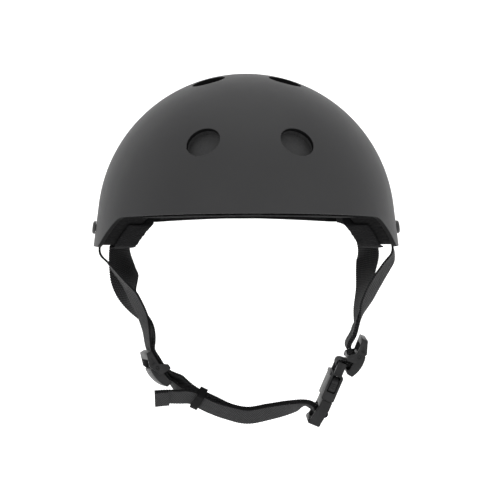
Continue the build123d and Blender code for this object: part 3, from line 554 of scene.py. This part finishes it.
# %% A smooth route through the places
def smooth_route(rows, step=ROW_STEP):
    """Places and face directions every step along a smooth curve through the rows."""
    places = [Vector(row[:3]) for row in rows]
    faces = [Vector(row[3:]).normalized() for row in rows]
    dense = []
    for index in range(len(places) - 1):
        before = places[max(index - 1, 0)]
        start, end = places[index], places[index + 1]
        after = places[min(index + 2, len(places) - 1)]
        length = (end - start).length
        first = (end - before).normalized() * length if index else (end - start)
        second = (after - start).normalized() * length if index + 2 < len(places) else (end - start)
        parts = max(4, int(length / step * 2))
        for part in range(parts):
            t = part / parts
            a, b = 2 * t**3 - 3 * t**2 + 1, t**3 - 2 * t**2 + t
            c, d = 1 - (2 * t**3 - 3 * t**2 + 1), t**3 - t**2
            place = start * a + first * b + end * c + second * d
            dense.append((place, faces[index].lerp(faces[index + 1], t)))
    dense.append((places[-1], faces[-1]))
    lengths = [0.0]
    for (one, _), (two, _) in zip(dense, dense[1:]):
        lengths.append(lengths[-1] + (two - one).length)
    rows_wanted = max(4, round(lengths[-1] / step))
    route, cursor = [], 0
    for row in range(rows_wanted + 1):
        target = lengths[-1] * row / rows_wanted
        while cursor < len(lengths) - 2 and lengths[cursor + 1] < target:
            cursor += 1
        share = (target - lengths[cursor]) / max(lengths[cursor + 1] - lengths[cursor], 1e-9)
        share = min(max(share, 0.0), 1.0)
        place = dense[cursor][0].lerp(dense[cursor + 1][0], share)
        face = dense[cursor][1].lerp(dense[cursor + 1][1], share)
        route.append((place, face))
    return route, lengths[-1]


def relax(route, rounds):
    """Even out small kinks in the face directions and the places, with the two ends held."""
    for _ in range(rounds):
        middle = [
            ((a[0] + b[0] * 2 + c[0]) / 4, (a[1] + b[1] * 2 + c[1]) / 4)
            for a, b, c in zip(route, route[1:], route[2:])
        ]
        route = [route[0], *middle, route[-1]]
    return route


# %% Lay a grid along a route
def lay_webbing(route, length, name):
    """A strip of webbing along a route, with its edge rows set a little wider, as a mesh with thickness."""
    bpy.ops.object.select_all(action="DESELECT")
    rows = len(route) - 1
    bpy.ops.mesh.primitive_grid_add(x_subdivisions=rows, y_subdivisions=ACROSS, size=1)
    strip = bpy.context.object
    strip.name = name
    for loop_uv in strip.data.uv_layers.active.data:
        loop_uv.uv = (loop_uv.uv[0] * length, loop_uv.uv[1] * STRAP_WIDTH)
    for vertex in strip.data.vertices:
        row = round((vertex.co.x + 0.5) * rows)
        across = vertex.co.y
        place, face = route[row]
        run = (route[min(row + 1, rows)][0] - route[max(row - 1, 0)][0]).normalized()
        side = run.cross(face).normalized()
        edge = abs(across) > 0.499
        picot = EDGE_PICOT * (1 if row % 2 else -1) if edge else 0
        wide = across * STRAP_WIDTH + math.copysign(picot, across) * (1 if row % 2 else -1)
        vertex.co = place + side * wide
    solidify = strip.modifiers.new("thickness", "SOLIDIFY")
    solidify.thickness = STRAP_THICKNESS
    solidify.offset = 0
    apply_modifiers(strip)
    only(strip)
    bpy.ops.object.shade_smooth_by_angle(angle=math.radians(50))
    return strip


BEND_TOP, BEND_FOOT = -0.008, -0.050
STRAP_ROUNDS, CHIN_ROUNDS, LOOP_ROUNDS = 12, 6, 4


def first_below(rows, height):
    """The first place of a route that lies under a height."""
    return next(row[:3] for row in rows if row[2] < height)


for label, rows in ROUTES.items():
    route, length = smooth_route(rows)
    strip = lay_webbing(relax(route, STRAP_ROUNDS), length, label)
    settle(strip, label + "_webbing", None, "webbing", webbing, label)
    divider = "divider_" + label.split("_")[-1]
    if label == "front_strap_end_left":
        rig.blend(strip, divider, "helmet", start=rows[1][:3], end=rows[-2][:3])
    else:
        top, foot = first_below(rows, BEND_TOP), first_below(rows, BEND_FOOT)
        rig.blend(strip, "helmet", divider, start=top, end=foot)
    print(label, "is", round(length * 1000), "mm long")

# %% [markdown]
# ## Chin strap and socket loop
# The chin strap is one length of webbing. It leaves the left divider, goes through the keeper and under the
# chin, turns round the plug's middle bar and comes back over itself through the keeper to its free end. So
# it is one route, whose face turns over at the bar. The plug pulls it along when the buckle opens, which is
# what the blend is for. The end of its tail is folded over, which is a short strip on top of it. The small
# loop that holds the buckle's socket is laid in the same way, and bends between the right divider and there.


# %% Places on the buckle and on the right divider
def device(place, lean):
    """A function from distances down the strap and away from the head to a place in the room."""
    down = Vector((-math.sin(math.radians(lean)), 0, -math.cos(math.radians(lean))))
    away = Vector((-down.z, 0, down.x))
    return lambda along, rise: Vector(place) + down * along + away * rise


on_buckle = device((0.066698, 0.005996, -0.0807), 23.1)
on_right_divider = device((0.078999, 0.005996, -0.063), 21.1)
print("buckle mouth at", [round(value, 4) for value in on_buckle(0.028, 0)])


# %% The chin strap's routes
DIVIDER_TO_KEEPER = [
    (-0.05883, 0.00826, -0.08322, -0.845, -0.208, -0.494),
    (-0.05649, 0.0083, -0.08683, -0.71, -0.208, -0.673),
    (-0.05304, 0.00751, -0.08933, -0.568, -0.276, -0.775),
    (-0.046, 0.00648, -0.09452, -0.545, -0.5, -0.673),
    (-0.03701, 0.00295, -0.10231, -0.473, -0.545, -0.693),
    (-0.02852, 0.00295, -0.10646, -0.368, -0.545, -0.754),
    (-0.02254, 0.00295, -0.10937, -0.368, -0.545, -0.754)]
KEEPER_TO_PLUG = [
    (-0.01179, 0.00206, -0.11461, -0.282, -0.574, -0.769),
    (0.00103, 0.00182, -0.1173, -0.014, -0.602, -0.799),
    (0.01477, 0.00207, -0.11506, 0.141, -0.588, -0.797),
    (0.02679, 0.00279, -0.11267, 0.163, -0.53, -0.832),
    (0.0371, 0.00398, -0.1106, 0.151, -0.407, -0.901),
    (0.04391, 0.00536, -0.10971, -0.055, -0.208, -0.977),
    (0.04998, 0.006, -0.11211, -0.392, 0.0, -0.92)]
PLUG_TO_KEEPER = [
    (0.04814, 0.006, -0.11643, -0.392, 0.0, -0.92), (0.0435, 0.005, -0.11134, -0.41, -0.208, -0.888),
    (0.03736, 0.00327, -0.11218, 0.151, -0.407, -0.901),
    (0.02707, 0.00187, -0.11413, 0.163, -0.53, -0.832),
    (0.01502, 0.00104, -0.11645, 0.141, -0.588, -0.797),
    (0.00101, 0.00077, -0.1187, -0.014, -0.602, -0.799),
    (-0.0122, 0.00105, -0.11598, -0.192, -0.574, -0.796),
    (-0.02383, 0.00104, -0.11201, -0.368, -0.545, -0.754)]
KEEPER_TO_TIP = [
    (-0.02981, 0.00104, -0.10909, -0.368, -0.545, -0.754),
    (-0.0383, 0.00104, -0.10495, -0.204, -0.545, -0.814),
    (-0.04702, 0.00129, -0.10478, -0.026, -0.559, -0.829),
    (-0.05508, 0.00052, -0.10443, 0.018, -0.559, -0.829),
    (-0.06334, 0.0, -0.10514, 0.069, -0.588, -0.806)]


# %% One chin strap, out and back
SLOT_REACH, RETURN_REACH = 0.03545, 0.04015
WRAP_SHOULDER, WRAP_RISE = 0.0027, 0.0050
turn_middle = (SLOT_REACH + RETURN_REACH) / 2
turn_half = (RETURN_REACH - SLOT_REACH) / 2
wrap_rows = []
for step in range(7):
    angle = math.pi * step / 6
    along = turn_middle - turn_half * math.cos(angle)
    rise = WRAP_SHOULDER + (WRAP_RISE - WRAP_SHOULDER) * math.sin(angle)
    inward = (on_buckle(math.cos(angle), -math.sin(angle)) - on_buckle(0, 0)).normalized()
    wrap_rows.append((*on_buckle(along, rise), *inward))


def turned_over(rows):
    """The same places with the webbing's other face forward."""
    return [(*row[:3], *(-value for value in row[3:])) for row in rows]


chin_rows = (
    DIVIDER_TO_KEEPER + KEEPER_TO_PLUG + wrap_rows + turned_over(PLUG_TO_KEEPER) + turned_over(KEEPER_TO_TIP)
)
route, length = smooth_route(chin_rows)
chin_webbing = lay_webbing(relax(route, CHIN_ROUNDS), length, "chin_strap")
settle(chin_webbing, "chin_strap_webbing", None, "webbing", webbing, "chin_strap")
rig.blend(chin_webbing, "helmet", "plug", start=(0.015, 0.002, -0.116), end=(0.042, 0.005, -0.111))
print("chin strap is", round(length * 1000), "mm long")

# %% The folded end of the tail
HEM_REACH = 0.010
before, tip = (Vector(row[:3]) for row in KEEPER_TO_TIP[-2:])
outward = Vector(KEEPER_TO_TIP[-1][3:]).normalized()
back = (before - tip).normalized()
hem_rows = [
    (*(tip + back * HEM_REACH * (1 - part / 4) + outward * STRAP_THICKNESS), *outward) for part in range(5)
]
route, length = smooth_route(hem_rows, ROW_STEP / 2)
tail_hem = lay_webbing(route, length, "tail_hem")
settle(tail_hem, "tail_hem_webbing", "helmet", "webbing", webbing)

# %% The loop on the buckle's socket
loop_places = [
    on_right_divider(0.0137, 0.00045), on_right_divider(0.0175, 0.00045), on_right_divider(0.0208, 0.00045),
    on_buckle(0.00075, 0.00255), on_buckle(0.0034, 0.00255), on_buckle(0.0045, 0.0),
    on_buckle(0.0034, -0.00255), on_buckle(-0.0005, -0.00255),
    on_right_divider(0.0187, -0.00125), on_right_divider(0.0137, -0.00125),
]
loop_rows = []
for index, place in enumerate(loop_places):
    run = loop_places[min(index + 1, len(loop_places) - 1)] - loop_places[max(index - 1, 0)]
    loop_rows.append((*place, -run.z, 0, run.x))
route, length = smooth_route(loop_rows, ROW_STEP / 2)
socket_webbing = lay_webbing(relax(route, LOOP_ROUNDS), length, "socket_loop")
settle(socket_webbing, "socket_loop_webbing", None, "webbing", webbing, "socket_loop")
loop_top, loop_foot = tuple(on_right_divider(0.0185, 0)), tuple(on_buckle(0.0005, 0))
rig.blend(socket_webbing, "divider_right", "helmet", start=loop_top, end=loop_foot)

# %% [markdown]
# ## Shell
# The shell is one moulding, taken as 3 mm thick: a round dome that is stretched towards front and back, with
# side walls that lean out, a rim that rises over the brow, and eight round vents. A sculpted sphere could
# give it, but its rim would be ragged. Here the columns of a grid run from the crown down to the rim, each
# as long as the rim asks, so that the last row is the rim itself. Solidify makes the wall, a boolean cuts
# the vents and rivet holes, and a narrow bevel rounds every edge. The photograph goes black right behind the
# rim, so the cut edges and the inside are given near-black plastic as painted shade, by how deep a face lies
# under the skin.

# %% Sizes of the dome and its rim
DOME_RADIUS = 0.102
DOME_HALF_LENGTH = 0.1295
CROWN_HEIGHT = 0.119
SHELL_WALL = 0.003
FLARE = math.radians(7.5)
RIM_CORNERS = [
    (-0.2315, 0.04423), (-0.070, 0.0255), (-0.036, 0.003), (0.009, 0), (0.050, 0.013), (0.2315, 0.0115),
]
RIM_ROUNDS = [0.024, 0.022, 0.036, 0.040]


def rim_line(corners, rounds):
    """Points along the rim as seen from the side, with its corners rounded."""
    points = [Vector(corners[0])]
    for before, corner, after, radius in zip(corners, corners[1:], corners[2:], rounds):
        corner = Vector(corner)
        back, ahead = (Vector(before) - corner).normalized(), (Vector(after) - corner).normalized()
        half = back.angle(ahead) / 2
        centre = corner + (back + ahead).normalized() * radius / math.sin(half)
        reach = radius / math.tan(half)
        start, end = corner + back * reach - centre, corner + ahead * reach - centre
        points += [centre + start.lerp(end, part / 12).normalized() * radius for part in range(13)]
    return points + [Vector(corners[-1])]


RIM = rim_line(RIM_CORNERS, RIM_ROUNDS)


def rim_height(along):
    for one, two in zip(RIM, RIM[1:]):
        if one.x <= along <= two.x:
            return one.y + (two.y - one.y) * (along - one.x) / (two.x - one.x)
    return RIM[-1].y


print("rim is", round(rim_height(-0.1295) * 1000, 1), "mm high at the brow")


# %% A place on the dome
def dome_place(turn, run, depth=0.0):
    """Place on a layer of the dome: turned round the crown, and so far down from it."""
    radius = DOME_RADIUS - depth
    quarter = radius * (math.pi / 2 - FLARE)
    centre = CROWN_HEIGHT - DOME_RADIUS
    if run <= quarter:
        lift = math.pi / 2 - run / radius
        half_width, height = radius * math.cos(lift), centre + radius * math.sin(lift)
    else:
        rest = run - quarter
        half_width = radius * math.cos(FLARE) + rest * math.sin(FLARE)
        height = centre + radius * math.sin(FLARE) - rest * math.cos(FLARE)
    stretch = (DOME_HALF_LENGTH - depth) / radius
    return Vector((half_width * math.cos(turn), half_width * stretch * math.sin(turn), height))


def run_to_rim(turn):
    """How far down from the crown the rim is, in one direction."""
    low, high = 0.08, 0.22
    for _ in range(40):
        middle = (low + high) / 2
        place = dome_place(turn, middle)
        if place.z > rim_height(place.y):
            low = middle
        else:
            high = middle
    return low


# %% Lay a grid over the dome
COLUMNS, RINGS = 216, 84

bpy.ops.object.select_all(action="DESELECT")
bpy.ops.mesh.primitive_grid_add(x_subdivisions=COLUMNS, y_subdivisions=RINGS, size=1)
shell = bpy.context.object
runs = [run_to_rim(2 * math.pi * column / COLUMNS) for column in range(COLUMNS + 1)]
for vertex in shell.data.vertices:
    column = round((vertex.co.x + 0.5) * COLUMNS)
    ring = round((vertex.co.y + 0.5) * RINGS)
    vertex.co = dome_place(2 * math.pi * (column % COLUMNS) / COLUMNS, runs[column] * ring / RINGS)
only(shell)
bpy.ops.object.mode_set(mode="EDIT")
bpy.ops.mesh.select_all(action="SELECT")
bpy.ops.mesh.remove_doubles(threshold=0.00001)
bpy.ops.mesh.normals_make_consistent(inside=False)
bpy.ops.object.mode_set(mode="OBJECT")
top_face = max(shell.data.polygons, key=lambda face: face.center.z)
if top_face.normal.z < 0:
    shell.data.flip_normals()
wall = shell.modifiers.new("wall", "SOLIDIFY")
wall.thickness = SHELL_WALL
wall.offset = -1
wall.use_even_offset = True
apply_modifiers(shell)
print("shell wall has", len(shell.data.polygons), "faces")

# %% Where the vents and the rivets are
VENT_RADIUS = 0.0114
VENTS = [(-0.757, 0.0305), (-0.155, 0.026), (0.33, 0.026), (0.757, 0.0305)]
RIVET_HOLE_RADIUS = 0.0025
VENT_SIDES, RIVET_SIDES = 60, 24
RIVET_HEIGHT = 0.014
RIVET_REACHES = (-0.008, 0.066)
STRETCH = DOME_HALF_LENGTH / DOME_RADIUS
holes = []
for share, offset in VENTS:
    for side in (-1, 1):
        across, along = side * offset, share * DOME_HALF_LENGTH
        lift = math.sqrt(DOME_RADIUS**2 - across**2 - (along / STRETCH) ** 2)
        normal = Vector((across, along / STRETCH**2, lift)).normalized()
        place = Vector((across, along, CROWN_HEIGHT - DOME_RADIUS + lift))
        holes.append((place, normal, VENT_RADIUS, VENT_SIDES))
for reach in RIVET_REACHES:
    for side in (-1, 1):
        joint = CROWN_HEIGHT - DOME_RADIUS + DOME_RADIUS * math.sin(FLARE)
        half_width = DOME_RADIUS * math.cos(FLARE) + (joint - RIVET_HEIGHT) * math.tan(FLARE)
        across = side * math.sqrt(half_width**2 - (reach / STRETCH) ** 2)
        normal = Vector((across, reach / STRETCH**2, half_width * math.tan(FLARE))).normalized()
        holes.append((Vector((across, reach, RIVET_HEIGHT)), normal, RIVET_HOLE_RADIUS, RIVET_SIDES))

# %% Cut the vents and the rivet holes
CUT_LENGTH = 0.016
WELD_REACH = 0.0004
EDGE_ROUND = 0.00035
cutters = []
for place, normal, radius, sides in holes:
    bpy.ops.object.select_all(action="DESELECT")
    bpy.ops.mesh.primitive_cylinder_add(vertices=sides, radius=radius, depth=CUT_LENGTH, location=place)
    cutter = bpy.context.object
    cutter.rotation_euler = normal.to_track_quat("Z", "Y").to_euler()
    cutters.append(cutter)
bpy.ops.object.select_all(action="DESELECT")
for cutter in cutters:
    cutter.select_set(True)
bpy.context.view_layer.objects.active = cutters[0]
bpy.ops.object.join()
cutter = bpy.context.object
cut = shell.modifiers.new("vents", "BOOLEAN")
cut.operation = "DIFFERENCE"
cut.object = cutter
cut.solver = "EXACT"
apply_modifiers(shell)
bpy.data.objects.remove(cutter)
only(shell)
bpy.ops.object.mode_set(mode="EDIT")
bpy.ops.mesh.select_all(action="SELECT")
bpy.ops.mesh.remove_doubles(threshold=WELD_REACH)
bpy.ops.object.mode_set(mode="OBJECT")
edge = shell.modifiers.new("soft edges", "BEVEL")
edge.width = EDGE_ROUND
edge.segments = 3
edge.limit_method = "ANGLE"
edge.angle_limit = math.radians(45)
edge.use_clamp_overlap = False
apply_modifiers(shell)
only(shell)
bpy.ops.object.shade_smooth_by_angle(angle=math.radians(35))
even = shell.modifiers.new("even shading", "WEIGHTED_NORMAL")
even.keep_sharp = True
apply_modifiers(shell)
settle(shell, "shell_moulding", "helmet", "shell_plastic", shell_plastic, "shell")

# %% Paint shade on the cut edges and the inside
SHADE_FROM_DEPTH = 0.0004
JOINT_HEIGHT = CROWN_HEIGHT - DOME_RADIUS + DOME_RADIUS * math.sin(FLARE)


def skin_depth(place):
    """How far a place lies under the outer skin of the shell."""
    across = math.hypot(place.x, place.y / STRETCH)
    if place.z > JOINT_HEIGHT:
        return DOME_RADIUS - math.hypot(across, place.z - (CROWN_HEIGHT - DOME_RADIUS))
    half_width = DOME_RADIUS * math.cos(FLARE) + (JOINT_HEIGHT - place.z) * math.tan(FLARE)
    return (half_width - across) * math.cos(FLARE)


# Painted shade: faces that lie deeper than the skin, on the cut edges and the inside, take the near-black plastic
shell.data.materials.append(shell_shade_plastic)
for face in shell.data.polygons:
    face.material_index = 1 if skin_depth(face.center) > SHADE_FROM_DEPTH else 0
# The faces counted here are the ones with painted shade
print(sum(face.material_index for face in shell.data.polygons), "faces of the shell are bare plastic")

# %% [markdown]
# ## Comfort pads
# The real pads are slabs of soft foam in a knitted cover, held by hook tape. Their edges are sewn, so the
# cover pulls in there and bulges in the middle. A bevelled slab would look like rubber. Here each slab is
# remeshed evenly, shrunk a little, and blown up again as cloth with pressure inside, with a limit on how
# far any point may go.

# %% Stuff a slab
PAD_VOXEL = 0.0022
PAD_SHRINK = 0.0007
PAD_PRESSURE = 2.0
PAD_CAP = 0.0010
PAD_FRAMES = 12


def stuff(node):
    """A cushion in the place of a CAD slab."""
    pad = merged_copy(node)
    pad.data.remesh_voxel_size = PAD_VOXEL
    bpy.ops.object.voxel_remesh()
    round_off = pad.modifiers.new("round off", "SMOOTH")
    round_off.factor = 0.5
    round_off.iterations = 3
    shrink = pad.modifiers.new("shrink", "DISPLACE")
    shrink.strength = -PAD_SHRINK
    shrink.mid_level = 0
    apply_modifiers(pad)
    start = [vertex.co.copy() for vertex in pad.data.vertices]
    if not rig.quick():
        cover = pad.modifiers.new("cover", "CLOTH")
        cover.settings.use_pressure = True
        cover.settings.uniform_pressure_force = PAD_PRESSURE
        cover.settings.effector_weights.gravity = 0
        for number in range(1, PAD_FRAMES + 1):
            bpy.context.scene.frame_set(number)
        apply_modifiers(pad)
        bpy.context.scene.frame_set(1)
        for vertex, place in zip(pad.data.vertices, start):
            move = vertex.co - place
            if move.length > PAD_CAP:
                vertex.co = place + move.normalized() * PAD_CAP
    smoother = pad.modifiers.new("finer", "SUBSURF")
    smoother.levels = smoother.render_levels = 1
    apply_modifiers(pad)
    only(pad)
    bpy.ops.object.shade_smooth()
    return pad


for node in ("front_pad", "rear_pad", "side_pad_left", "side_pad_right", "crown_pad"):
    cushion = settle(stuff(node), node + "_cushion", "helmet", "pad_fabric", pad_cloth, node)
    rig.padded(cushion, fill=0.8)

# %% [markdown]
# ## Hard pieces
# The CAD solids of the buckles have sharp edges. Real mouldings have rounded ones, which catch the light.
# A merged copy of each solid gets a small bevel on its sharp edges.

# %% Softened copies of the moulded pieces
MOULDED = {
    "divider_body_left": ("divider_left", 0.0003),
    "divider_body_right": ("divider_right", 0.0003),
    "divider_lever_left": ("lever_left", 0.0004),
    "divider_lever_right": ("lever_right", 0.0004),
    "strap_keeper": ("keeper", 0.0005),
    "buckle_socket": ("helmet", 0.0004),
    "buckle_plug": ("plug", 0.0004),
    "latch_arm_front": ("latch_front", 0.0002),
    "latch_arm_rear": ("latch_rear", 0.0002),
}


for node, (body, width) in MOULDED.items():
    piece = merged_copy(node)
    bevel = piece.modifiers.new("soft edges", "BEVEL")
    bevel.width = width
    bevel.segments = 2
    bevel.limit_method = "ANGLE"
    bevel.angle_limit = math.radians(40)
    apply_modifiers(piece)
    bpy.ops.object.shade_smooth_by_angle(angle=math.radians(35))
    plastic = keeper_plastic if node == "strap_keeper" else buckle_plastic
    settle(piece, node + "_moulding", body, "buckle_plastic", plastic, node)

# %% Finishes on the solids that stay as they are
PLAIN = {
    "eps_liner": foam, "pad_hook_patches": hook_tape,
    "strap_rivets": rivet_metal, "rivet_washers": washer_metal,
}
for node, finish in PLAIN.items():
    node_object = frame["nodes"][node]
    node_object.data.materials.clear()
    node_object.data.materials.append(finish)

# %% [markdown]
# ## Floor and light
# A plain pale floor that runs up into a wall behind, and large soft lamps, as in a product picture.

# %% Floor and lamps
FLOOR_HEIGHT = -0.42
WALL_REACH = 3.0
WALL_TOP = 3.0
COVE_ROUND = 1.2

bpy.ops.object.select_all(action="DESELECT")
bpy.ops.mesh.primitive_plane_add(size=2 * WALL_REACH, location=(0, 0, FLOOR_HEIGHT))
floor = bpy.context.object
floor.name = "studio_floor"
bpy.ops.object.mode_set(mode="EDIT")
bpy.ops.mesh.select_all(action="DESELECT")
bpy.ops.object.mode_set(mode="OBJECT")
for rim_edge in floor.data.edges:
    ends = [floor.data.vertices[index].co for index in rim_edge.vertices]
    rim_edge.select = all(end.y > 0 for end in ends)
bpy.ops.object.mode_set(mode="EDIT")
bpy.ops.mesh.select_mode(type="EDGE")
bpy.ops.mesh.extrude_region_move(TRANSFORM_OT_translate={"value": (0, 0, WALL_TOP)})
bpy.ops.object.mode_set(mode="OBJECT")
cove = floor.modifiers.new("cove", "BEVEL")
cove.width = COVE_ROUND
cove.segments = 16
apply_modifiers(floor)
only(floor)
bpy.ops.object.shade_smooth()
paper = bpy.data.materials.new("white_paper")
paper.use_nodes = True
paper.node_tree.nodes["Principled BSDF"].inputs["Base Color"].default_value = (0.95, 0.95, 0.95, 1)
paper.node_tree.nodes["Principled BSDF"].inputs["Roughness"].default_value = 0.95
paper.node_tree.nodes["Principled BSDF"].inputs["Emission Color"].default_value = (1, 1, 1, 1)
paper.node_tree.nodes["Principled BSDF"].inputs["Emission Strength"].default_value = 0.35
floor.data.materials.append(paper)
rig.stage(floor)

world = bpy.data.worlds.new("studio")
bpy.context.scene.world = world
world.use_nodes = True
world.node_tree.nodes["Background"].inputs["Color"].default_value = (1, 1, 1, 1)
world.node_tree.nodes["Background"].inputs["Strength"].default_value = 1.0


def soft_lamp(name, place, aim, size, power):
    bpy.ops.object.light_add(type="AREA", location=place)
    lamp = bpy.context.object
    lamp.name = name
    lamp.data.shape = "SQUARE"
    lamp.data.size = size
    lamp.data.energy = power
    lamp.rotation_euler = (Vector(aim) - Vector(place)).to_track_quat("-Z", "Y").to_euler()
    return lamp


soft_lamp("top_lamp", (0, 0.25, 1.5), (0, 0, 0.05), 1.2, 6)
soft_lamp("key_lamp", (-0.9, -1.4, 0.9), (0, 0, 0), 0.9, 4)
soft_lamp("fill_lamp", (1.1, -1.2, 0.5), (0, 0, 0), 0.9, 3)

# %% Finish
json.dump({"cad": cad_box, "visual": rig.bounds()}, open("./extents.json", "w"), default=list)
print(json.load(open("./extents.json")))
